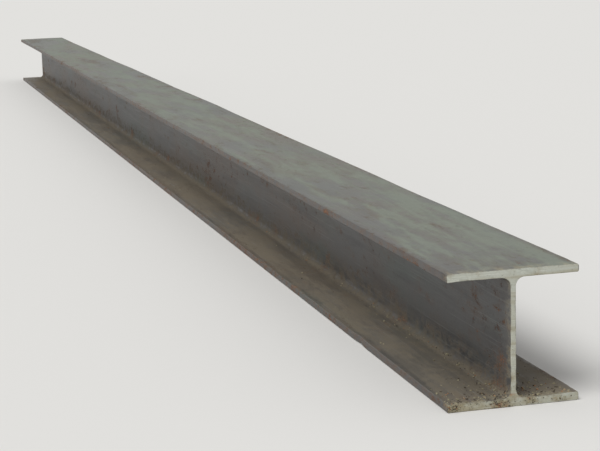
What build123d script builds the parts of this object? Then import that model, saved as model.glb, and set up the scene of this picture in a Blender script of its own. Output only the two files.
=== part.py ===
from build123d import *
import os

# A bar of hot-rolled wide-flange steel beam, with an H section as wide as it is deep.
# It is rolled from one billet and sawn square to a stock length, so it is one solid.
# It lies on its lower flange with its web upright.
# Origin: on the floor under the middle of the bar.
# +X runs along the bar, +Y across the flanges and +Z up the web.
# All sizes are in millimetres.

# Driving sizes of the rolled section
section_depth = 200.0
flange_width = 200.0
flange_thickness = 12.0
web_thickness = 8.0
root_radius = 13.0
toe_radius = 2.0

# Driving size of the saw cut
bar_length = 6000.0

# Share of the flat beside a corner that the corner's radius may use
rounding_share = 0.98

# Two places on the outline that are nearer than this are the same
same_place = 0.001


def flange_outline(side):
    """One flange as a flat plate: side is 1 for the upper flange and -1 for the lower."""
    middle = (section_depth - flange_thickness) / 2
    return Pos(0, side * middle) * Rectangle(flange_width, flange_thickness)


def web_outline():
    """The web, which runs into the middle of both flanges."""
    return Rectangle(web_thickness, section_depth - flange_thickness)


def corners_at(outline, distance):
    """The outline's corners that lie this far to either side of the middle of the web."""
    return [v for v in outline.vertices() if abs(abs(v.X) - distance) < same_place]


def rolled_section():
    """The H outline: root fillets where the web meets the flanges, and eased flange toes."""
    outline = flange_outline(1) + flange_outline(-1) + web_outline()
    toe = min(toe_radius, rounding_share * flange_thickness / 2)
    overhang = (flange_width - web_thickness) / 2
    clear_depth = section_depth - 2 * flange_thickness
    root = min(root_radius, rounding_share * (overhang - toe), rounding_share * clear_depth / 2)
    outline = fillet(corners_at(outline, web_thickness / 2), root)
    return fillet(corners_at(outline, flange_width / 2), toe)


def h_beam():
    """The section carried along the bar, half to each side, and sawn square at both ends."""
    mid_plane = Plane(origin=(0, 0, section_depth / 2), x_dir=(0, 1, 0), z_dir=(1, 0, 0))
    return extrude(mid_plane * rolled_section(), amount=bar_length / 2, both=True)


def main():
    os.makedirs("parts", exist_ok=True)
    export_step(h_beam(), "parts/h_beam.step")


main()
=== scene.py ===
"""A bar of hot-rolled wide-flange beam that has weathered out of doors, in a plain studio.

Every size is in metres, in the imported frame: +X runs along the bar towards the end that the
camera sees, +Y across the flanges and +Z up the web, and the floor is at zero.
"""

import functools
import itertools
import math
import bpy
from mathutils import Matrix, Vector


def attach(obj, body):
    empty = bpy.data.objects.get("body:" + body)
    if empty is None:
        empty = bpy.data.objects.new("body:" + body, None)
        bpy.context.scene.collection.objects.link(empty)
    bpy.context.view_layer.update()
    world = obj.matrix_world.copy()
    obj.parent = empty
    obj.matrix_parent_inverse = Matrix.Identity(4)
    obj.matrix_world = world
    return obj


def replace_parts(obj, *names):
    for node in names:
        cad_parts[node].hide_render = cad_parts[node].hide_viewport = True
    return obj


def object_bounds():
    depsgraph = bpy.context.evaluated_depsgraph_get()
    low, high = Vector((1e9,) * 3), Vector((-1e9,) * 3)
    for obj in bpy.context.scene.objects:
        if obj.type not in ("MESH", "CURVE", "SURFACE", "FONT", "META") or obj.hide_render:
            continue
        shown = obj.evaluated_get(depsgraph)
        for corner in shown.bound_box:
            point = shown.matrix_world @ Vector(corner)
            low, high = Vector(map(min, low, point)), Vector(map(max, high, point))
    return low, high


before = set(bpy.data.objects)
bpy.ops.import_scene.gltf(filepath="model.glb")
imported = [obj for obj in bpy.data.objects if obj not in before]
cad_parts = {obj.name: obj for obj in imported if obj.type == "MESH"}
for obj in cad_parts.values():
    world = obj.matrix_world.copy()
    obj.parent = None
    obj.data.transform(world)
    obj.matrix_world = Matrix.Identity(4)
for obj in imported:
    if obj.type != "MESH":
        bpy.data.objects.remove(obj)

from types import SimpleNamespace

import bpy
import numpy as np
from mathutils import Matrix, Quaternion, Vector

CAD_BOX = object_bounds()

bl_info = {
    "name": "Weathered wide-flange beam",
    "version": (1, 0, 0),
    "blender": (4, 5, 0),
    "location": "View3D > Sidebar > Beam",
    "description": "Makes a rolled steel beam with its scale, rust, dust and sawn ends",
    "category": "Object",
}

NODE = "h_beam"

# The picture's width and height in pixels
PICTURE = (600, 451)


def tone(red, green, blue):
    """A colour given as 0 to 255 on a screen, made linear for shaders by the sRGB curve."""
    screen = np.array([red, green, blue]) / 255
    linear = np.where(screen <= 0.04045, screen / 12.92, ((screen + 0.055) / 1.055) ** 2.4)
    return tuple(float(x) for x in linear)


def read_section(mesh):
    """The web, flange, root and toe sizes of the rolled section, read off the bar's points.

    The points nearest the bar's middle plane are on the web, and the lowest of them is where
    a root fillet ends. The points furthest from it are on a flange's edge, and the edge of
    the lower flange starts and ends one toe radius from the flange's two faces.
    """
    places = np.empty(3 * len(mesh.vertices))
    mesh.vertices.foreach_get("co", places)
    across, up = np.abs(places[1::3]), places[2::3]
    same = 1e-5
    half_web = across.min()
    fillet_end = up[across < half_web + same].min()
    edge = up[(across > across.max() - same) & (up < up.max() / 2)]
    toe = edge.min()
    flange = edge.max() + toe
    return {"web": 2 * half_web, "flange": flange, "root": fillet_end - flange, "toe": toe}


SECTION = read_section(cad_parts[NODE].data)
SPAN = CAD_BOX[1] - CAD_BOX[0]


def length_setting(name, description, default, **limits):
    """A property that holds a length."""
    return bpy.props.FloatProperty(
        name=name,
        description=description,
        default=float(default),
        unit="LENGTH",
        subtype="DISTANCE",
        precision=4,
        **limits,
    )


def share_setting(name, description, default):
    """A property that holds a share from none to all."""
    return bpy.props.FloatProperty(
        name=name, description=description, default=default, min=0.0, max=1.0, subtype="FACTOR"
    )


def strength_setting(name, description, default):
    """A property that holds how strong a light is."""
    return bpy.props.FloatProperty(name=name, description=description, default=default, min=0.0)


def angle_setting(name, description, degrees):
    """A property that holds an angle."""
    return bpy.props.FloatProperty(
        name=name, description=description, default=math.radians(degrees), subtype="ANGLE"
    )


def colour_setting(name, description, default):
    """A property that holds a colour."""
    return bpy.props.FloatVectorProperty(
        name=name, description=description, default=default, size=3, min=0.0, max=1.0, subtype="COLOR"
    )


class RolledBarSettings(bpy.types.PropertyGroup):
    """The sizes of the bar and of the marks that handling and sawing left on it."""

    length: length_setting("Length", "From sawn end to sawn end", SPAN.x, min=0.5)
    depth: length_setting("Depth", "Over both flanges", SPAN.z, min=0.05)
    width: length_setting("Width", "Across a flange", SPAN.y, min=0.05)
    web: length_setting("Web", "Thickness of the web", SECTION["web"], min=0.002)
    flange: length_setting("Flange", "Thickness of a flange", SECTION["flange"], min=0.002)
    root: length_setting("Root radius", "Fillet between web and flange", SECTION["root"], min=0.001)
    toe: length_setting("Toe radius", "Rounding of a flange's edge", SECTION["toe"], min=0.0002)
    saw_round: length_setting("Saw edge", "How far a sawn edge is worn round", 0.0006, min=0.0)
    ragged: length_setting("Ragged cut", "How deep the nicks in a sawn edge are", 0.0009, min=0.0)
    uneven: length_setting("Uneven skin", "How far the rolled skin rises and falls", 0.00018, min=0.0)
    wave: length_setting("Flange wave", "How far flange edges rise and fall", 0.0004, min=0.0)
    dent: length_setting("Dents", "Depth of the dents in the flange edges", 0.0018, min=0.0)
    crumbs: bpy.props.IntProperty(
        name="Crumbs",
        description="How many crumbs of mud and scale lie on the bar",
        default=1100,
        min=0,
    )


class FinishSettings(bpy.types.PropertyGroup):
    """The colours of the steel and of what lies on it."""

    scale_slate: colour_setting("Slate scale", "Grey skin left by the rolling", tone(83, 83, 83))
    scale_brown: colour_setting("Tired scale", "Where the skin has browned", tone(84, 76, 70))
    scale_green: colour_setting("Greened scale", "Where the skin is a dull blue-green", tone(75, 82, 79))
    scale_dark: colour_setting("Deep scale", "The darkest of the skin", tone(50, 49, 52))
    scale_pale: colour_setting("Rubbed scale", "Hairlines where the skin is rubbed", tone(124, 125, 124))
    rust_stain: colour_setting("Rust stain", "Brown round the rusted patches", tone(92, 76, 64))
    rust_deep: colour_setting("Old rust", "Rust that has been there long", tone(96, 70, 52))
    rust_bright: colour_setting("New rust", "Rust that is still orange", tone(160, 104, 64))
    dust: colour_setting("Dust", "Dust on the upper flange", tone(131, 138, 126))
    dust_warm: colour_setting("Settled mud", "Dust where it has been wet", tone(118, 112, 103))
    silt: colour_setting("Silt", "Dirt between the flanges", tone(118, 109, 92))
    sawn_pale: colour_setting("Sawn steel", "The dull face of the cut", tone(193, 196, 185))
    sawn_bare: colour_setting("Bright cut", "Saw lines that are still bright", tone(210, 212, 203))
    sawn_dirty: colour_setting("Soiled cut", "Dirt on the face of the cut", tone(162, 155, 131))
    sawn_dark: colour_setting("Pitted cut", "Specks and the edge of the cut", tone(78, 72, 60))
    crumb_pale: colour_setting("Dry crumbs", "Crumbs of dry mud", tone(172, 164, 134))
    crumb_dark: colour_setting("Scale crumbs", "Crumbs of loose mill scale", tone(66, 58, 48))
    rust_reach: length_setting("Rust reach", "How far rust spreads from a sawn end", 0.22, min=0.01)
    dust_cover: share_setting("Dust cover", "How much of the upper flange is dusty", 0.62)


class StageSettings(bpy.types.PropertyGroup):
    """Where the camera stands, and the light and floor round the bar."""

    eye_back: length_setting("Eye back", "From the shown end, along the bar", 2.092)
    eye_left: length_setting("Eye left", "From the bar's middle plane", 0.863)
    eye_above: length_setting("Eye above", "Over the middle of the shown end", 0.570)
    fill: share_setting("Frame fill", "Share of the picture that the bar spans", 0.93)
    lean: angle_setting("Lean", "How far the camera leans to its right", 1.5)
    gap: length_setting("Floor gap", "How far the floor lies under the bar", 0.0002, min=0.0)
    floor: colour_setting("Floor", "The studio floor and what is behind it", tone(226, 225, 222))
    key: strength_setting("Key light", "Strength of the soft sun", 1.75)
    softness: angle_setting("Softness", "How broad the soft sun is in the sky", 34)
    key_from: bpy.props.FloatVectorProperty(
        name="Key from",
        description="The way from the bar to the soft sun",
        default=(0.42, -0.62, 1.25),
        subtype="DIRECTION",
    )
    sky: strength_setting("Sky light", "Strength of the light all round", 0.52)


def waves(places, count, shortest, longest, seed):
    """Smooth uneven heights about zero with a spread of one, the same on each run.

    They are a sum of sine waves that run in any direction through the places, which are rows
    of numbers, with wavelengths spread evenly by ratio from longest to shortest. The sum is
    divided by the root of half their number.
    """
    draw = np.random.default_rng(seed)
    across = places.shape[-1]
    heading = draw.normal(size=(count, across))
    heading /= np.linalg.norm(heading, axis=1, keepdims=True)
    wavelength = longest * (shortest / longest) ** np.linspace(0, 1, count)
    pace = 2 * math.pi * heading / wavelength[:, None]
    phase = draw.uniform(0, 2 * math.pi, count)
    return np.sin(places @ pace.T + phase).sum(-1) / math.sqrt(count / 2)


def half_flange(size, core_steps=2, flat_steps=19, round_steps=6, toe_steps=4):
    """Places from the middle plane out to a toe: how far across, the drop of the inner side
    below the flange's inner face, and how far a toe's rounding brings both faces in.

    Inside the web the drop is the root radius. On the root fillet a point turns through a
    right angle a, so it is r - r cos a out from the web and dropped by r - r sin a. On the
    toe it is r sin a out and brought in by r - r cos a.
    """
    half_web = size.web / 2
    core = np.linspace(0, half_web, core_steps + 1)[:-1]
    turn = np.linspace(0, math.pi / 2, round_steps + 1)
    fillet = half_web + size.root * (1 - np.cos(turn))
    flat_end = size.width / 2 - size.toe
    flat = np.linspace(fillet[-1], flat_end, flat_steps + 1)[1:-1]
    ease = np.linspace(0, math.pi / 2, toe_steps + 1)
    toe = flat_end + size.toe * np.sin(ease)
    across = np.concatenate([core, fillet, flat, toe])
    drop = np.zeros(len(across))
    drop[: len(core)] = size.root
    drop[len(core) : len(core) + len(fillet)] = size.root * (1 - np.sin(turn))
    inward = np.zeros(len(across))
    inward[-len(toe) :] = size.toe * (1 - np.cos(ease))
    return across, drop, inward, len(core)


def section_grids(size, rows=5, web_steps=18):
    """The section as three grids of numbered points: upper flange, web and lower flange.

    Gives the points as rows of y and z, the three grids of point numbers, and which column of
    a flange is the first and the last on the web. A flange's columns run from the left toe to
    the right one, and its rows from the outer face to the inner side.
    """
    across, drop, inward, core = half_flange(size)
    columns = np.concatenate([-across[:0:-1], across])
    drop = np.concatenate([drop[:0:-1], drop])
    inward = np.concatenate([inward[:0:-1], inward])
    share = np.linspace(0, 1, rows + 1)
    thick = size.flange + drop - 2 * inward
    depth_in = inward[:, None] + thick[:, None] * share
    upper = np.stack([np.broadcast_to(columns[:, None], depth_in.shape), size.depth - depth_in], -1)
    lower = np.stack([upper[..., 0], depth_in], -1)
    middle = len(across) - 1
    first, last = middle - core, middle + core
    heights = np.linspace(upper[middle, -1, 1], lower[middle, -1, 1], web_steps + 1)[1:-1]
    web = np.stack(np.broadcast_arrays(columns[first : last + 1], heights[:, None]), -1)
    points = np.concatenate([upper.reshape(-1, 2), web.reshape(-1, 2), lower.reshape(-1, 2)])
    numbers = np.arange(len(points))
    count = upper.shape[0] * upper.shape[1]
    upper_ids = numbers[:count].reshape(upper.shape[:2])
    lower_ids = numbers[-count:].reshape(upper.shape[:2])
    inner = numbers[count:-count].reshape(web.shape[:2])
    web_ids = np.vstack([upper_ids[first : last + 1, -1], inner, lower_ids[first : last + 1, -1]])
    return points, upper_ids, web_ids, lower_ids, (first, last)


def section_rim(upper, web, lower, first, last):
    """The numbers of the points round the outline, counter-clockwise as seen from +X."""
    return np.concatenate([
        upper[::-1, 0],
        upper[0, 1:],
        upper[1 : first + 1, -1],
        web[1:-1, 0],
        lower[first:0:-1, -1],
        lower[0, :0:-1],
        lower[:, 0],
        lower[-1, 1:],
        lower[-2 : last - 1 : -1, -1],
        web[-2:0:-1, -1],
        upper[last:-1, -1],
        upper[-1, :0:-1],
    ])


def section_faces(upper, web, lower):
    """The section's quads, counter-clockwise as seen from +X."""

    def quads(ids, flip):
        ring = [ids[:-1, :-1], ids[:-1, 1:], ids[1:, 1:], ids[1:, :-1]]
        return np.stack(ring[::-1] if flip else ring, -1).reshape(-1, 4)

    return np.concatenate([quads(upper, False), quads(web, True), quads(lower, True)])


def stations(size):
    """Places along the bar, close together near the sawn ends, and above all the shown one.

    Each run from one stop to the next is divided evenly into as many steps as counts says.
    """
    low, high = -size.length / 2, size.length / 2
    stops = (low, low + 0.08, high - 1.4, high - 0.35, high - 0.05, high)
    counts = (14, 90, 60, 44, 22)
    runs = [np.linspace(*ends, n + 1)[:-1] for *ends, n in zip(stops, stops[1:], counts)]
    inside = np.concatenate(runs)[1:]
    bevel = size.saw_round * np.array([0.0, 0.3, 1.0])
    return np.concatenate([low + bevel, inside, high - bevel[::-1]])


class SkinShape:
    """The bar's skin: the outline carried along the stations and then marked by its history."""

    # The finer unevenness, as a share of the broad, and how far from a sawn end it fades
    fine_share = 0.6
    fine_reach = 0.3
    # How far from a sawn end the nicks of the cut fade
    nick_reach = 0.003
    # How far in from a flange's edge a dent reaches, and how much of its push bends the flange
    dent_reach = 0.012
    dent_bend = 0.6

    def __init__(self, size):
        self.size = size
        self.points, self.upper, self.web, self.lower, ends = section_grids(size)
        self.rim = section_rim(self.upper, self.web, self.lower, *ends)
        self.inner = np.setdiff1d(np.arange(len(self.points)), self.rim)
        self.along = stations(size)
        self.outline = outline = self.points[self.rim]
        run = np.roll(outline, -1, 0) - np.roll(outline, 1, 0)
        run /= np.linalg.norm(run, axis=1, keepdims=True)
        self.outward = np.stack([run[:, 1], -run[:, 0]], 1)
        steps = np.linalg.norm(np.diff(outline, axis=0, append=outline[:1]), axis=1)
        self.girth = np.concatenate([[0], np.cumsum(steps)])

    def from_end(self, x):
        """How far each place is from the nearer sawn end."""
        return self.size.length / 2 - np.abs(x)

    def shaped(self, x, y, z, outward):
        """Moves points of the plain bar to where rolling, sawing and handling left them.

        The skin is uneven by a few tenths of a millimetre, and less so by the web. Flange edges
        rise and fall along the bar with the square of their distance from the web. Dents push
        the edges in over a short stretch, by a bell curve both ways. The underside of the lower
        flange has no unevenness of its own.
        """
        size = self.size
        place = np.stack([x, y, z], -1)
        is_upper = z > size.depth / 2
        outer = np.abs(y) / (size.width / 2)
        near = np.exp(-self.from_end(x) / self.fine_reach)
        broad = waves(place, count=6, shortest=0.09, longest=0.5, seed=2)
        fine = waves(place, count=8, shortest=0.014, longest=0.06, seed=1)
        skin = size.uneven * (broad + self.fine_share * near * fine)
        skin = np.where(z < size.toe, 0.0, skin * np.clip(4 * outer, 0.25, 1))
        y = y + outward[..., 0] * skin
        z = z + outward[..., 1] * skin
        side = np.sign(y)
        # A different number for each of the four edges, so that each has its own waves
        edge = 3.0 * side + 7.0 * is_upper
        tilt = waves(np.stack([x, edge], -1), count=7, shortest=0.5, longest=3.0, seed=3)
        rise = size.wave * tilt * outer**2
        z = z + np.where(is_upper, rise - size.wave * outer**2, np.abs(rise))
        for at, hand, top, deep, reach in self.dents():
            here = np.exp(-(((x - at) / reach) ** 2)) * (side == hand) * (is_upper == top)
            from_edge = size.width / 2 - np.abs(y)
            push = deep * here * np.exp(-((from_edge / self.dent_reach) ** 2))
            y = y - hand * push
            z = z + np.where(is_upper, -self.dent_bend, self.dent_bend) * push
        return x, y, z

    def dents(self):
        """Dents as place along the bar, side, whether on the upper flange, depth and reach.

        Four are near the shown end, and the rest are spread along the bar.
        """
        size = self.size
        end = size.length / 2
        count, far_reach = 8, 0.02
        dents = [
            (end - 0.006, -1, True, 0.9 * size.dent, 0.007),
            (end - 0.19, -1, True, 0.8 * size.dent, 0.014),
            (end - 0.02, 1, False, 0.8 * size.dent, 0.009),
            (end - 0.42, -1, False, size.dent, 0.018),
        ]
        draw = np.random.default_rng(11)
        spread = np.linspace(-end + 0.3, end - 0.8, count) + draw.uniform(-0.2, 0.2, count)
        for at in spread:
            hand = draw.choice([-1, 1])
            is_upper = draw.random() < 0.6
            deep = size.dent * draw.uniform(0.2, 0.5)
            dents.append((at, hand, is_upper, deep, far_reach))
        return dents

    def ragged_cut(self, x, y, z):
        """How far the saw's uneven edge lies inside the end, fading over a few millimetres.

        Only the highest quarter of the waves is left, so the edge is straight apart from nicks.
        """
        fade = np.exp(-self.from_end(x) / self.nick_reach)
        place = np.stack([y, z, np.sign(x)], -1)
        rough = waves(place, count=12, shortest=0.006, longest=0.06, seed=5)
        nicks = np.clip(1.2 * rough - 0.9, 0, 1.6)
        return -np.sign(x) * self.size.ragged * fade * nicks

    def vertices(self):
        """Every point of the skin, ring by ring, then the inner points of the two cut faces."""
        size = self.size
        x = np.repeat(self.along[:, None], len(self.rim), 1)
        y, z = (np.broadcast_to(v, x.shape) for v in self.outline.T)
        outward = np.broadcast_to(self.outward, x.shape + (2,))
        close = np.clip(1 - self.from_end(x) / size.saw_round, 0, 1)
        inset = size.saw_round * (1 - np.sqrt(1 - close**2))
        x, y, z = self.shaped(x, y - outward[..., 0] * inset, z - outward[..., 1] * inset, outward)
        z = np.maximum(z, 0)
        x = x + self.ragged_cut(x, y, z)
        rings = np.stack([x, y, z], -1).reshape(-1, 3)
        # Inside the outline the cut follows the nicks in its edge by half
        caps = []
        for end in (self.along[0], self.along[-1]):
            y, z = self.points[self.inner].T
            x = np.full(len(y), end)
            x, y, z = self.shaped(x, y, z, np.zeros((len(y), 2)))
            dish = 0.5 * self.ragged_cut(x, y, z)
            caps.append(np.stack([x + dish, y, z], -1))
        return np.concatenate([rings, *caps])

    def faces(self):
        """The skin's quads between rings, and the two cut faces that close it."""
        count, rings = len(self.rim), len(self.along)
        ring = np.arange(rings - 1)[:, None] * count
        here = np.arange(count)
        after = np.roll(here, -1)
        skin = np.stack([ring + here, ring + after, ring + count + after, ring + count + here], -1)
        cut = section_faces(self.upper, self.web, self.lower)
        caps = []
        for end, start in enumerate((0, (rings - 1) * count)):
            number = np.empty(len(self.points), int)
            number[self.rim] = start + here
            number[self.inner] = rings * count + end * len(self.inner) + np.arange(len(self.inner))
            caps.append(number[cut] if end else number[cut][:, ::-1])
        return skin.reshape(-1, 4), *caps

    def rim_distances(self):
        """How far each point of the mesh is from the section's outline, which only the inner
        points of the two cut faces are."""
        gap = self.points[self.inner][:, None] - self.outline[None]
        inner = np.linalg.norm(gap, axis=-1).min(1)
        return np.concatenate([np.zeros(len(self.along) * len(self.rim)), inner, inner])

    def bake_places(self, near_length=2.4, margin=0.004, cut_share=0.2):
        """Where each face corner lies on the map for baking, from 0 to 1.

        The skin is unrolled into two strips, one above the other: the shown end's part of the
        bar, and the rest. So the shown end gets more detail. The cut faces lie flat above.
        """
        size, rings, count = self.size, len(self.along), len(self.rim)
        split = int(np.searchsorted(self.along, size.length / 2 - near_length))
        near = np.arange(rings - 1) >= split
        start = np.where(near, self.along[split], self.along[0])
        reach = np.where(near, self.along[-1] - self.along[split], self.along[split] - self.along[0])
        room = 1 - 2 * margin
        u = [margin + room * (x - start) / reach for x in (self.along[:-1], self.along[1:])]
        tall = (1 - cut_share) / 2 - 2 * margin
        low = np.where(near, margin, (1 - cut_share) / 2 + margin)
        v = self.girth / self.girth[-1] * tall
        skin = np.empty((rings - 1, count, 4, 2))
        for corner, (step, turn) in enumerate(((0, 0), (0, 1), (1, 1), (1, 0))):
            skin[:, :, corner, 0] = u[step][:, None]
            skin[:, :, corner, 1] = low[:, None] + v[None, turn : turn + count]
        cut = section_faces(self.upper, self.web, self.lower)
        flat = self.points[cut] + (size.width / 2, 0)
        scale = (cut_share - 2 * margin) / size.depth
        shown = np.array([margin, 1 - cut_share + margin]) + flat * scale
        far = shown[:, ::-1] + (cut_share, 0)
        return np.concatenate([skin.reshape(-1, 2), far.reshape(-1, 2), shown.reshape(-1, 2)])


def lumps(centres, sizes, seed):
    """Closed chunky lumps as points and three-cornered faces, one to each centre.

    A lump is a solid with twelve corners and twenty faces. Each corner is pushed in or out at
    random, and the lump is stretched and turned at random and pressed to two thirds of its
    height.
    """
    draw = np.random.default_rng(seed)
    golden = (1 + math.sqrt(5)) / 2
    arm = np.array([(0, a, b * golden) for a in (-1, 1) for b in (-1, 1)])
    corners = np.concatenate([arm, np.roll(arm, 1, 1), np.roll(arm, 2, 1)]) / math.sqrt(1 + golden**2)
    gaps = np.linalg.norm(corners[:, None] - corners[None], axis=-1)
    slack = 1.01
    edge = slack * gaps[gaps > 0].min()
    trios = np.array(list(itertools.combinations(range(len(corners)), 3)))
    a, b, c = trios.T
    trios = trios[(gaps[a, b] < edge) & (gaps[b, c] < edge) & (gaps[a, c] < edge)]
    a, b, c = (corners[trio] for trio in trios.T)
    inward = np.einsum("ij,ij->i", np.cross(b - a, c - a), a) < 0
    trios[inward] = trios[inward][:, ::-1]
    count = len(centres)
    turn, _ = np.linalg.qr(draw.normal(size=(count, 3, 3)))
    turn *= np.sign(np.linalg.det(turn))[:, None, None]
    push = draw.uniform(0.7, 1.25, (count, len(corners), 1))
    stretch = draw.uniform(0.7, 1.3, (count, 1, 3))
    pressed = (1, 1, 0.66)
    points = np.einsum("nij,nkj->nki", turn, corners * push * stretch) * sizes[:, None, None]
    points = points * pressed + centres[:, None]
    faces = trios[None] + len(corners) * np.arange(count)[:, None, None]
    return points.reshape(-1, 3), faces.reshape(-1, 3), len(corners)


def ledge_height(size, across):
    """How high the lower flange's inner side is at a place across it, fillet included.

    On the fillet, at d from the web, it is r - sqrt(r^2 - (r - d)^2) above the flange.
    """
    into = np.clip(size.root - (np.abs(across) - size.web / 2), 0, size.root)
    return size.flange + size.root - np.sqrt(size.root**2 - into**2)


def crumb_places(size):
    """Where the crumbs of mud and scale lie, and how big each is.

    Some lie by the shown end, some along the web's foot and some anywhere on the lower flange.
    The rest stick to the lower flange's cut face in clusters, most of them left of the web. A
    crumb's size is smallest + growth u^rarity for an even draw u, so most are small. A gap is
    how far off the crumbs start, and a scatter how fast they thin out from there.
    """
    draw = np.random.default_rng(23)
    half, foot = size.width / 2 - size.toe, size.web / 2
    end = size.length / 2
    end_gap, end_scatter = 0.002, 0.03
    foot_gap, foot_scatter, run_gap, run_scatter = 0.003, 0.006, 0.01, 0.6
    left_clusters, right_clusters, cluster_spread = 9, 2, 0.008
    smallest, growth, rarity = 0.0007, 0.0015, 2.2
    stuck_scale, raised = 0.75, 0.3
    shares = {"by_end": 0.28, "by_web": 0.24, "strewn": 0.24, "stuck": 0.24}
    counts = {name: int(share * size.crumbs) for name, share in shares.items()}

    def either_side(count):
        return draw.choice([-1.0, 1.0], count)

    def anywhere(count):
        return either_side(count) * (foot + (half - foot) * draw.random(count))

    n = counts["by_end"]
    by_end = np.stack([end - end_gap - draw.exponential(end_scatter, n), anywhere(n)], -1)
    n = counts["by_web"]
    off_web = foot + foot_gap + draw.exponential(foot_scatter, n)
    back = run_gap + draw.exponential(run_scatter, n)
    by_web = np.stack([end - back, either_side(n) * off_web], -1)
    n = counts["strewn"]
    strewn = np.stack([draw.uniform(-end, end, n), anywhere(n)], -1)
    lying = np.concatenate([by_end, by_web, strewn])
    lying = np.clip(lying, (end_gap - end, -half), (end - end_gap, half))
    n = counts["stuck"]
    clusters = [draw.uniform(-half, 0, left_clusters), draw.uniform(0, half, right_clusters)]
    across = draw.choice(np.concatenate(clusters), n) + draw.normal(0, cluster_spread, n)
    up = size.flange * draw.uniform(0.12, 0.88, n)
    sizes = smallest + growth * draw.random(len(lying) + n) ** rarity
    sizes[len(lying) :] *= stuck_scale
    height = ledge_height(size, lying[:, 1]) + raised * sizes[: len(lying)]
    lying = np.column_stack([lying, height])
    stuck = np.column_stack([np.full(n, end), np.clip(across, -half, half), up])
    return np.concatenate([lying, stuck]), sizes


def new_mesh(name, vertices, faces):
    """A mesh from rows of points and rows of face corners."""
    mesh = bpy.data.meshes.new(name)
    mesh.vertices.add(len(vertices))
    mesh.vertices.foreach_set("co", vertices.astype(np.float32).ravel())
    corners = faces.shape[1]
    mesh.loops.add(faces.size)
    mesh.loops.foreach_set("vertex_index", faces.astype(np.int32).ravel())
    mesh.polygons.add(len(faces))
    mesh.polygons.foreach_set("loop_start", np.arange(0, faces.size, corners, dtype=np.int32))
    mesh.update(calc_edges=True)
    mesh.validate()
    return mesh


def add_mark(mesh, name, values):
    """A number for each point of the mesh, which a material can read by its name."""
    mark = mesh.attributes.new(name, "FLOAT", "POINT")
    mark.data.foreach_set("value", values.astype(np.float32))


def new_piece(name, mesh):
    """An object that shows the mesh and rides on the bar's only body."""
    piece = bpy.data.objects.new(name, mesh)
    bpy.context.scene.collection.objects.link(piece)
    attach(piece, "root")
    return piece


class Recipe:
    """Builds one material. Each method adds a node and gives back the socket it works out."""

    def __init__(self, name):
        self.material = bpy.data.materials.new(name)
        self.material.use_nodes = True
        self.tree = self.material.node_tree
        self.shader = self.tree.nodes["Principled BSDF"]
        self.place = self.node("ShaderNodeTexCoord").outputs["Object"]

    def node(self, kind, inputs=(), **settings):
        """A node with its settings, and its inputs fed by values or sockets."""
        made = self.tree.nodes.new(kind)
        for name, value in settings.items():
            setattr(made, name, value)
        for name, value in dict(inputs).items():
            self.feed(made.inputs[name], value)
        return made

    def feed(self, socket, value):
        """Links a socket to another, or sets its value."""
        if isinstance(value, bpy.types.NodeSocket):
            self.tree.links.new(value, socket)
        elif socket.type == "RGBA" and len(value) == 3:
            socket.default_value = (*value, 1)
        else:
            socket.default_value = value

    def maths(self, operation, first, second=0.0):
        """One step of arithmetic."""
        return self.node("ShaderNodeMath", {0: first, 1: second}, operation=operation).outputs[0]

    def total(self, *terms):
        """The sum of several values."""
        return functools.reduce(functools.partial(self.maths, "ADD"), terms)

    def product(self, *terms):
        """The product of several values."""
        return functools.reduce(functools.partial(self.maths, "MULTIPLY"), terms)

    def weighted(self, *rows):
        """The sum of several products, each given as a row of factors."""
        return self.total(*(self.product(*row) for row in rows))

    def span(self, value, low, high, start=0.0, stop=1.0):
        """The value's way from low to high, eased at both ends, as a number from start to stop."""
        inputs = {"Value": value, "From Min": low, "From Max": high, "To Min": start, "To Max": stop}
        made = self.node("ShaderNodeMapRange", inputs, interpolation_type="SMOOTHSTEP")
        return made.outputs["Result"]

    def blend(self, first, second, share):
        """A colour that goes from first to second as share goes from 0 to 1."""
        made = self.node("ShaderNodeMix", data_type="RGBA")
        self.feed(made.inputs[0], share)
        self.feed(made.inputs[6], first)
        self.feed(made.inputs[7], second)
        return made.outputs[2]

    def coated(self, colour, *coats):
        """A colour under several coats, each given as its colour, the pattern that it follows,
        the pattern's values where it starts and where it is full, and how much it then hides."""
        for coat, pattern, low, high, share in coats:
            colour = self.blend(colour, coat, self.span(pattern, low, high, 0.0, share))
        return colour

    def stretched(self, along=1.0, across=1.0, up=1.0, shift=0.0):
        """The place, shifted, and with lengths multiplied so that a pattern is drawn out where
        the factor is below one."""
        inputs = {"Vector": self.place, "Scale": (along, across, up), "Location": (shift, shift, shift)}
        return self.node("ShaderNodeMapping", inputs).outputs[0]

    def mark(self, name):
        """A number that the mesh keeps for each of its points."""
        return self.node("ShaderNodeAttribute", attribute_name=name).outputs["Fac"]

    def noise(self, grain, detail=6.0, rough=0.6, vector=None):
        """Cloudy values that seldom leave 0.3 to 0.7, with clouds about grain metres across.

        Detail is how many times finer clouds are added, and rough how strong these are.
        """
        inputs = {
            "Vector": vector or self.place,
            "Scale": 1.0 / grain,
            "Detail": detail,
            "Roughness": rough,
        }
        return self.node("ShaderNodeTexNoise", inputs).outputs[0]

    def axes(self):
        """The place's three parts: along the bar, across it and up."""
        return self.node("ShaderNodeSeparateXYZ", {0: self.place}).outputs

    def facing(self):
        """The surface's outward direction, in three parts."""
        normal = self.node("ShaderNodeTexCoord").outputs["Normal"]
        return self.node("ShaderNodeSeparateXYZ", {0: normal}).outputs

    def relief(self, height, depth, under=None):
        """Roughens the surface by a height pattern that is this many metres deep."""
        made = self.node("ShaderNodeBump", {"Height": height, "Distance": depth, "Strength": 1.0})
        if under is not None:
            self.feed(made.inputs["Normal"], under)
        return made.outputs[0]

    def finish(self, **sockets):
        """Feeds the surface shader and gives back the material."""
        for name, value in sockets.items():
            self.feed(self.shader.inputs[name.replace("_", " ").title()], value)
        return self.material


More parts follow.
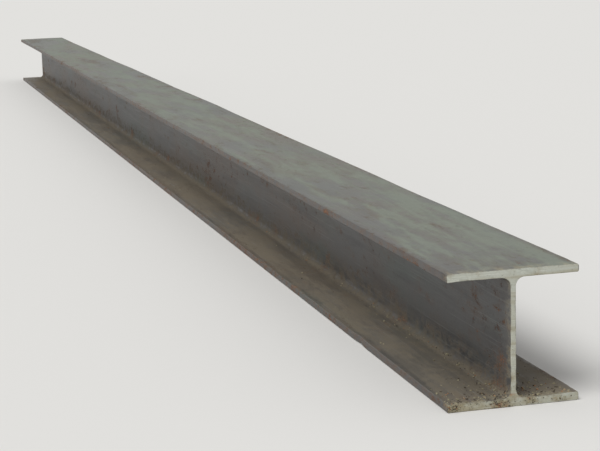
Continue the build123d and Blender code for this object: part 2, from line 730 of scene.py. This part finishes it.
def skin_patterns(mix):
    """The patterns that the rolled skin's marks follow. Most are drawn out along the bar, and
    hairlines and scratches the furthest. Drips are drawn out down the web."""
    drawn = mix.stretched(along=0.45)
    return SimpleNamespace(
        cloud=mix.noise(0.26, 6.0, 0.6, drawn),
        tint=mix.noise(0.11, 6.0, 0.6, mix.stretched(along=0.22, shift=3.1)),
        patch=mix.noise(0.05, 9.0, 0.68, drawn),
        blotch=mix.noise(0.05, 8.0, 0.66, mix.stretched(along=0.22, shift=15.2)),
        streak=mix.noise(0.03, 7.0, 0.62, mix.stretched(along=0.09)),
        hair=mix.noise(0.003, 2.0, 0.5, mix.stretched(along=0.012)),
        scratch=mix.noise(0.0026, 1.0, 0.5, mix.stretched(along=0.006, shift=5.3)),
        drip=mix.noise(0.010, 4.0, 0.6, mix.stretched(up=0.07)),
        fleck=mix.noise(0.014, 8.0, 0.72, mix.stretched(along=0.65, shift=7.7)),
        grit=mix.noise(0.0045, 5.0, 0.78),
    )


def skin_zones(mix, size, finish):
    """Where on the bar a point of the skin is, by name, as shares that fade over a reach.

    level, sheltered: what faces up, and the rest
    by_end, by_rim: the skin beside a sawn end, far along it and close to the cut
    by_toe: the flange edges
    on_web, foot: the web between its fillets, and the lowest part of it
    lower: the lower half of the bar
    over_foot: the height over the lower flange's inner face, in metres
    left_end: more than zero left of the web and less than zero right of it, by the shown end
    """
    rim_reach, toe_reach, foot_reach, foot_start = 0.03, 0.018, 0.07, -0.004
    warm_from, warm_full, warm_gain = 0.9, 0.2, -1.6
    half_length, half_width, half_web = size.length / 2, size.width / 2, size.web / 2
    x, y, z = mix.axes()
    side = mix.maths("ABSOLUTE", y)
    from_end = mix.maths("SUBTRACT", half_length, mix.maths("ABSOLUTE", x))
    over_foot = mix.maths("SUBTRACT", z, size.flange)
    level = mix.span(mix.facing()[2], 0.35, 0.9)
    on_web = mix.span(side, half_web + 1.1 * size.root, half_web + 0.5 * size.root)
    near_end = mix.span(x, half_length - warm_from, half_length - warm_full, 0.0, warm_gain)
    return SimpleNamespace(
        level=level,
        sheltered=mix.maths("SUBTRACT", 1.0, level),
        by_end=mix.span(from_end, 0.0, finish.rust_reach, 1.0, 0.0),
        by_rim=mix.span(from_end, 0.0, rim_reach, 1.0, 0.0),
        by_toe=mix.span(side, half_width - toe_reach, half_width - 0.001),
        on_web=on_web,
        foot=mix.product(
            on_web,
            mix.span(over_foot, 0.0, foot_reach, 1.0, 0.0),
            mix.span(over_foot, foot_start, 0.0),
        ),
        over_foot=over_foot,
        lower=mix.span(z, 0.3 * size.depth, 0.5 * size.depth, 1.0, 0.0),
        left_end=mix.product(y, near_end),
    )


def mill_scale(mix, finish, grain):
    """Slate skin that has browned and greened in clouds, with dark streaks and pale hairlines."""
    return mix.coated(
        finish.scale_slate,
        (finish.scale_brown, grain.cloud, 0.42, 0.60, 1.0),
        (finish.scale_green, grain.tint, 0.50, 0.66, 0.8),
        (finish.scale_dark, grain.streak, 0.48, 0.70, 0.55),
        (finish.scale_dark, grain.fleck, 0.52, 0.72, 0.5),
        (finish.scale_pale, grain.hair, 0.58, 0.72, 0.30),
    )


def rust_over(mix, finish, grain, zone, colour):
    """A colour with rust on it, and how far the skin is stained, flaked and in bloom.

    Flakes and their stains follow the patches, and the bloom follows flecks and grit. All of
    them are commoner at the sawn ends, the flange edges and the web's foot.
    """
    stain_cover, flake_cover, bloom_cover, bloom_glow = 0.65, 0.8, 0.7, 0.35
    flaky = mix.weighted((grain.patch,), (zone.by_end, 0.035), (zone.by_toe, 0.045), (zone.foot, 0.05))
    stained = mix.span(mix.weighted((flaky,), (grain.fleck, 0.3)), 0.68, 0.84)
    flaked = mix.span(mix.weighted((flaky,), (grain.grit, 0.5)), 0.90, 1.0)
    bloom = mix.weighted(
        (grain.fleck, 0.5),
        (grain.grit, 0.28),
        (grain.cloud, 0.22),
        (zone.by_end, zone.sheltered, 0.035),
        (zone.by_toe, 0.03),
        (zone.foot, zone.by_end, 0.05),
    )
    bloomed = mix.span(bloom, 0.56, 0.64)
    fresh = mix.span(mix.weighted((grain.grit,), (grain.patch, 0.6)), 0.80, 1.0)
    rust = mix.blend(finish.rust_deep, finish.rust_bright, fresh)
    edge_face = mix.product(zone.by_toe, zone.sheltered, mix.span(grain.fleck, 0.40, 0.62))
    stain = mix.maths("MAXIMUM", mix.product(stained, stain_cover), edge_face)
    colour = mix.blend(colour, finish.rust_stain, stain)
    colour = mix.blend(colour, rust, mix.product(flaked, flake_cover))
    glowing = mix.blend(rust, finish.rust_bright, bloom_glow)
    colour = mix.blend(colour, glowing, mix.product(bloomed, bloom_cover))
    dripped = mix.product(
        zone.on_web, mix.span(grain.drip, 0.55, 0.72, 0.0, 0.4), mix.span(grain.cloud, 0.45, 0.6)
    )
    colour = mix.blend(colour, finish.rust_deep, dripped)
    return colour, stained, flaked, bloomed


def dust_over(mix, finish, grain, zone, colour):
    """A colour with dirt on it, and how far the skin is dusty and silted.

    Dust lies on what faces up. On the upper flange it lies in films, and is warmer in clouds
    and to the left of the shown end. Below it is thicker, more even and the colour of silt.
    It is thinner at the flange edges. Scratches cut through it, silt lies against the web's
    foot, and dirt from sawing is smeared beside the cuts.
    """
    most, silt_cover, smear_cover = 0.93, 0.6, 0.5
    film = mix.weighted(
        (grain.blotch, 0.34), (grain.streak, 0.32), (grain.fleck, 0.22), (grain.cloud, 0.12)
    )
    settled = mix.span(film, 0.455, 0.545)
    patchy = mix.product(settled, mix.maths("SUBTRACT", 0.95, mix.product(zone.lower, 0.42)))
    thick = mix.total(patchy, 0.25, mix.product(zone.lower, 0.50))
    rubbed = mix.span(mix.weighted((zone.by_toe,), (grain.patch, 0.5)), 0.4, 1.3, 1.0, 0.55)
    dusty = mix.product(zone.level, rubbed, finish.dust_cover, thick)
    warm = mix.span(mix.total(grain.tint, zone.left_end), 0.51, 0.65)
    dust = mix.blend(mix.blend(finish.dust, finish.dust_warm, warm), finish.silt, zone.lower)
    colour = mix.blend(colour, dust, mix.maths("MINIMUM", dusty, most))
    scratched = mix.product(
        zone.level, mix.span(grain.scratch, 0.66, 0.74, 0.0, 0.55), mix.span(grain.patch, 0.42, 0.55)
    )
    colour = mix.blend(colour, finish.scale_pale, scratched)
    low_fleck = mix.weighted((grain.fleck,), (zone.over_foot, -2.0))
    silted = mix.product(zone.foot, mix.span(low_fleck, 0.36, 0.56))
    colour = mix.blend(colour, finish.silt, mix.product(silted, silt_cover))
    smeared = mix.product(zone.by_rim, mix.span(grain.fleck, 0.42, 0.6), smear_cover)
    return mix.blend(colour, finish.sawn_dirty, smeared), dusty, silted


def rolled_skin(size, finish):
    """Slate mill scale with rust and then dirt over it. It has a dull sheen where it is bare
    and none where it is dirty, drawn lines in its surface, and a grain where it has rusted."""
    line_depth, rust_depth, bare_grain = 0.00022, 0.0007, 0.12
    mix = Recipe("rolled_skin")
    grain, zone = skin_patterns(mix), skin_zones(mix, size, finish)
    colour = mill_scale(mix, finish, grain)
    colour, stained, flaked, bloomed = rust_over(mix, finish, grain, zone, colour)
    colour, dusty, silted = dust_over(mix, finish, grain, zone, colour)
    dull = mix.span(mix.weighted((flaked,), (bloomed,), (dusty,), (silted,), (stained, 0.5)), 0.0, 1.0)
    rough = mix.total(mix.span(dull, 0.0, 1.0, 0.47, 0.88), mix.product(grain.grit, 0.16), -0.08)
    normal = mix.relief(mix.weighted((grain.hair,), (grain.streak, 1.5)), line_depth)
    rusted = mix.total(mix.maths("MAXIMUM", bloomed, mix.product(flaked, 0.6)), bare_grain)
    normal = mix.relief(mix.product(rusted, mix.total(grain.grit, grain.fleck)), rust_depth, normal)
    return mix.finish(
        base_color=colour,
        roughness=rough,
        metallic=mix.span(dull, 0.0, 0.7, 0.32, 0.0),
        normal=normal,
    )


def sawn_face(size, finish):
    """The dull pale face of the cut, with saw lines, dark specks, a dark broken rim, and dirt
    and rust below, most of it to the left of the web. The web's cut is a little soiled too."""
    rim_width, line_depth, grit_depth = 0.0012, 0.0006, 0.0007
    web_soil, speck_cover = 0.25, 0.8
    mix = Recipe("sawn_face")
    _, y, z = mix.axes()
    cloud = mix.noise(0.03, 6.0, 0.6)
    grit = mix.noise(0.0034, 5.0, 0.75)
    line = mix.noise(0.0016, 3.0, 0.55, mix.stretched(across=0.03))
    band = mix.noise(0.012, 3.0, 0.5, mix.stretched(across=0.05))
    blot = mix.noise(0.016, 7.0, 0.68)

    left = mix.span(y, -0.02, 0.07, 1.0, 0.25)
    low = mix.span(z, 0.0, 0.6 * size.depth, 1.0, 0.0)
    foot = mix.product(left, mix.span(z, size.flange, 2.4 * size.flange, 1.0, 0.0))
    by_web = mix.span(mix.maths("ABSOLUTE", y), 0.0, 2.5 * size.root, 1.0, 0.0)
    clear = 2.0 * size.flange
    above = mix.span(z, clear, clear + size.root)
    below = mix.span(z, size.depth - clear, size.depth - clear - size.root)
    rim = mix.span(mix.mark("from_rim"), 0.0, rim_width, 1.0, 0.0)

    soiled = mix.span(mix.weighted((cloud,), (low, 0.07), (foot, 0.13)), 0.44, 0.76)
    soiled = mix.maths("MAXIMUM", soiled, mix.product(above, below, web_soil))
    stain = mix.weighted((blot,), (foot, 0.07), (by_web, foot, 0.05))
    colour = mix.coated(
        mix.blend(finish.sawn_pale, finish.sawn_dirty, soiled),
        (finish.sawn_bare, line, 0.50, 0.70, 0.6),
        (finish.sawn_dirty, band, 0.46, 0.68, 0.65),
        (finish.rust_bright, cloud, 0.52, 0.70, 0.22),
        (finish.rust_bright, stain, 0.62, 0.76, 0.65),
        (finish.sawn_dark, mix.weighted((grit,), (foot, 0.07)), 0.61, 0.69, speck_cover),
    )
    edged = mix.product(rim, mix.span(blot, 0.42, 0.66, 0.0, 0.6))
    colour = mix.blend(colour, finish.sawn_dark, edged)
    normal = mix.relief(grit, grit_depth, mix.relief(mix.total(line, band), line_depth))
    rough = mix.span(grit, 0.3, 0.7, 0.58, 0.85)
    return mix.finish(base_color=colour, roughness=rough, metallic=0.15, normal=normal)


def crumb_dirt(finish):
    """Dry mud and flakes of scale, some pale, some dark and some rusty."""
    mix = Recipe("crumb_dirt")
    shade = mix.mark("shade")
    grain = mix.noise(0.0012, 4.0, 0.7)
    colour = mix.coated(
        finish.crumb_dark,
        (finish.crumb_pale, shade, 0.30, 0.62, 1.0),
        (finish.rust_bright, shade, 0.86, 0.92, 0.8),
        (finish.silt, grain, 0.4, 0.7, 0.6),
    )
    rough = mix.span(grain, 0.3, 0.7, 0.8, 0.95)
    return mix.finish(base_color=colour, roughness=rough, normal=mix.relief(grain, 0.0005))


class BEAM_OT_roll_bar(bpy.types.Operator):
    """Make the rolled bar with its sawn ends"""

    bl_idname = "beam.roll_bar"
    bl_label = "Roll the bar"

    def execute(self, context):
        size, finish = context.scene.rolled_bar, context.scene.beam_finish
        shape = SkinShape(size)
        vertices = shape.vertices()
        skin, far_cut, shown_cut = shape.faces()
        mesh = new_mesh("rolled_bar", vertices, np.concatenate([skin, far_cut, shown_cut]))
        mesh.materials.append(rolled_skin(size, finish))
        mesh.materials.append(sawn_face(size, finish))
        # The skin's first and last ring are the start of the worn edge, and sawn too
        ring = np.repeat(np.arange(len(shape.along) - 1), len(shape.rim))
        sawn = np.ones(len(mesh.polygons), np.int32)
        sawn[: len(skin)] = (ring == ring.min()) | (ring == ring.max())
        mesh.polygons.foreach_set("material_index", sawn)
        smooth = np.arange(len(mesh.polygons)) < len(skin)
        mesh.polygons.foreach_set("use_smooth", smooth)
        add_mark(mesh, "from_rim", shape.rim_distances())
        layer = mesh.uv_layers.new(name="OFBake")
        layer.uv.foreach_set("vector", shape.bake_places().astype(np.float32).ravel())
        mesh.update()
        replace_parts(new_piece("rolled_bar", mesh), NODE)
        return {"FINISHED"}


class BEAM_OT_strew_crumbs(bpy.types.Operator):
    """Strew crumbs of mud and scale on the lower flange"""

    bl_idname = "beam.strew_crumbs"
    bl_label = "Strew crumbs"

    def execute(self, context):
        size, finish = context.scene.rolled_bar, context.scene.beam_finish
        centres, radii = crumb_places(size)
        points, faces, corners = lumps(centres, radii, seed=31)
        mesh = new_mesh("mud_crumbs", points, faces)
        mesh.polygons.foreach_set("use_smooth", np.zeros(len(mesh.polygons), bool))
        mesh.materials.append(crumb_dirt(finish))
        shade = np.random.default_rng(37).random(len(centres))
        add_mark(mesh, "shade", np.repeat(shade, corners))
        mesh.update()
        new_piece("mud_crumbs", mesh)
        return {"FINISHED"}


def aimed(eye, corners, lean, fill, turns=12):
    """The camera's turn, and its focal length in pictures' widths, so that the corners seen
    from the eye span a share of the frame about its middle.

    Each turn brings the look nearer to the middle of what the corners cover, and a dozen are
    enough.
    """
    width, height = PICTURE
    look = (sum(corners, Vector()) / len(corners) - eye).normalized()
    for _ in range(turns):
        turn = look.to_track_quat("-Z", "Y") @ Quaternion((0, 0, 1), -lean)
        seen = [turn.inverted() @ (corner - eye) for corner in corners]
        flat = np.array([(p.x / -p.z, p.y / -p.z) for p in seen])
        low, high = flat.min(0), flat.max(0)
        middle = (low + high) / 2
        look = turn @ Vector((middle[0], middle[1], -1)).normalized()
    reach = high - low
    return turn, fill * min(1 / reach[0], height / width / reach[1])


class BEAM_OT_set_stage(bpy.types.Operator):
    """Set the floor, the soft light and the camera round the bar"""

    bl_idname = "beam.set_stage"
    bl_label = "Set the stage"

    def execute(self, context):
        stage, size = context.scene.beam_stage, context.scene.rolled_bar
        self.lay_floor(stage)
        self.light(context.scene, stage)
        self.place_camera(context.scene, stage, size)
        context.scene.view_settings.view_transform = "Standard"
        return {"FINISHED"}

    def lay_floor(self, stage):
        """A wide flat floor in one pale colour."""
        reach = 60.0
        corners = reach * np.array([(-1, -1, 0), (1, -1, 0), (1, 1, 0), (-1, 1, 0)]) - (0, 0, stage.gap)
        mesh = new_mesh("studio_floor", corners, np.array([[0, 1, 2, 3]]))
        mix = Recipe("studio_floor")
        mix.shader.inputs["Specular IOR Level"].default_value = 0.0
        mesh.materials.append(mix.finish(base_color=tuple(stage.floor), roughness=1.0))
        floor = bpy.data.objects.new("studio_floor", mesh)
        bpy.context.scene.collection.objects.link(floor)

    def light(self, scene, stage):
        """One broad soft sun from above the left of the bar, an even light all round, and the
        floor's colour behind everything for the rays that see it."""
        lamp = bpy.data.lights.new("soft_key", "SUN")
        lamp.energy = stage.key
        lamp.angle = stage.softness
        key = bpy.data.objects.new("soft_key", lamp)
        key.rotation_mode = "QUATERNION"
        key.rotation_quaternion = Vector(stage.key_from).to_track_quat("Z", "Y")
        scene.collection.objects.link(key)
        world = bpy.data.worlds.new("studio_world")
        world.use_nodes = True
        nodes, links = world.node_tree.nodes, world.node_tree.links
        path = nodes.new("ShaderNodeLightPath").outputs
        seen = path["Is Camera Ray"]
        for ray in ("Is Glossy Ray", "Is Transmission Ray"):
            join = nodes.new("ShaderNodeMath")
            join.operation = "MAXIMUM"
            links.new(seen, join.inputs[0])
            links.new(path[ray], join.inputs[1])
            seen = join.outputs[0]
        shade = nodes.new("ShaderNodeMix")
        shade.data_type = "RGBA"
        shade.inputs[6].default_value = (stage.sky, stage.sky, stage.sky, 1)
        shade.inputs[7].default_value = (*stage.floor, 1)
        links.new(seen, shade.inputs[0])
        links.new(shade.outputs[2], nodes["Background"].inputs["Color"])
        scene.world = world

    def place_camera(self, scene, stage, size):
        """The eye keeps its place beside the bar, and is aimed so that the bar fills the frame."""
        end = Vector((size.length / 2, 0, size.depth / 2))
        eye = end + Vector((stage.eye_back, -stage.eye_left, stage.eye_above))
        corners = [Vector(place) for place in itertools.product(*zip(*CAD_BOX))]
        turn, focal = aimed(eye, corners, stage.lean, stage.fill)
        data = bpy.data.cameras.new("camera")
        data.sensor_fit = "HORIZONTAL"
        data.lens = data.sensor_width * focal
        data.clip_start = 0.05
        data.clip_end = 200.0
        camera = bpy.data.objects.new("camera", data)
        camera.matrix_world = Matrix.Translation(eye) @ turn.to_matrix().to_4x4()
        scene.collection.objects.link(camera)
        scene.camera = camera


class BEAM_PT_beam(bpy.types.Panel):
    """The bar's settings and the steps that make it"""

    bl_idname = "BEAM_PT_beam"
    bl_label = "Wide-flange beam"
    bl_space_type = "VIEW_3D"
    bl_region_type = "UI"
    bl_category = "Beam"

    def draw(self, context):
        groups = (
            (context.scene.rolled_bar, BEAM_OT_roll_bar),
            (context.scene.beam_finish, BEAM_OT_strew_crumbs),
            (context.scene.beam_stage, BEAM_OT_set_stage),
        )
        for settings, step in groups:
            box = self.layout.box()
            for name in settings.__annotations__:
                box.prop(settings, name)
            box.operator(step.bl_idname)


CLASSES = (
    RolledBarSettings,
    FinishSettings,
    StageSettings,
    BEAM_OT_roll_bar,
    BEAM_OT_strew_crumbs,
    BEAM_OT_set_stage,
    BEAM_PT_beam,
)


def register():
    """Adds the classes, and their settings to every scene."""
    for made in CLASSES:
        bpy.utils.register_class(made)
    bpy.types.Scene.rolled_bar = bpy.props.PointerProperty(type=RolledBarSettings)
    bpy.types.Scene.beam_finish = bpy.props.PointerProperty(type=FinishSettings)
    bpy.types.Scene.beam_stage = bpy.props.PointerProperty(type=StageSettings)


def unregister():
    """Takes the settings and classes away again."""
    del bpy.types.Scene.rolled_bar, bpy.types.Scene.beam_finish, bpy.types.Scene.beam_stage
    for made in reversed(CLASSES):
        bpy.utils.unregister_class(made)


def main():
    register()
    bpy.ops.beam.roll_bar()
    bpy.ops.beam.strew_crumbs()
    bpy.ops.beam.set_stage()


if __name__ == "__main__":
    main()
